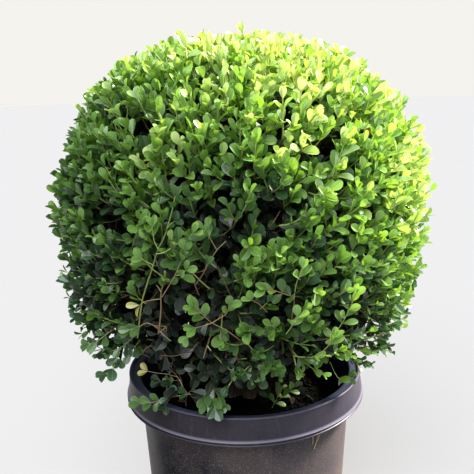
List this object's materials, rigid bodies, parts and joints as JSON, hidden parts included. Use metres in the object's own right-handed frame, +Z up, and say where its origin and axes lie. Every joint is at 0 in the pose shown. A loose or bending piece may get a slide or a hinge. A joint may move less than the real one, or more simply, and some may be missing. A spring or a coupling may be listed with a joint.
{
  "type": "box topiary ball in a nursery pot",
  "caption": "Evergreen box shrub clipped into a ball, on a short branching stem in the soil of a round black plastic nursery pot.",
  "frame": {"origin": "middle of the pot's flat underside", "axes": "+Z up the trunk, -Y towards the viewer of the front, +X to the right of the front"},
  "size_m": [0.5265, 0.5247, 0.7853],
  "materials": {
    "pot_plastic": "dusty satin",
    "potting_soil": "rough",
    "bark": "rough",
    "foliage": "glossy leaf"
  },
  "bodies": {
    "root": {"pot": "pot_plastic", "soil": "potting_soil", "trunk": "bark", "bough_1": "bark", "bough_2": "bark", "bough_3": "bark", "bough_4": "bark", "bough_5": "bark", "bough_6": "bark", "bough_7": "bark", "bough_leader": "bark", "clipped_crown": "foliage"}
  },
  "joints": []
}
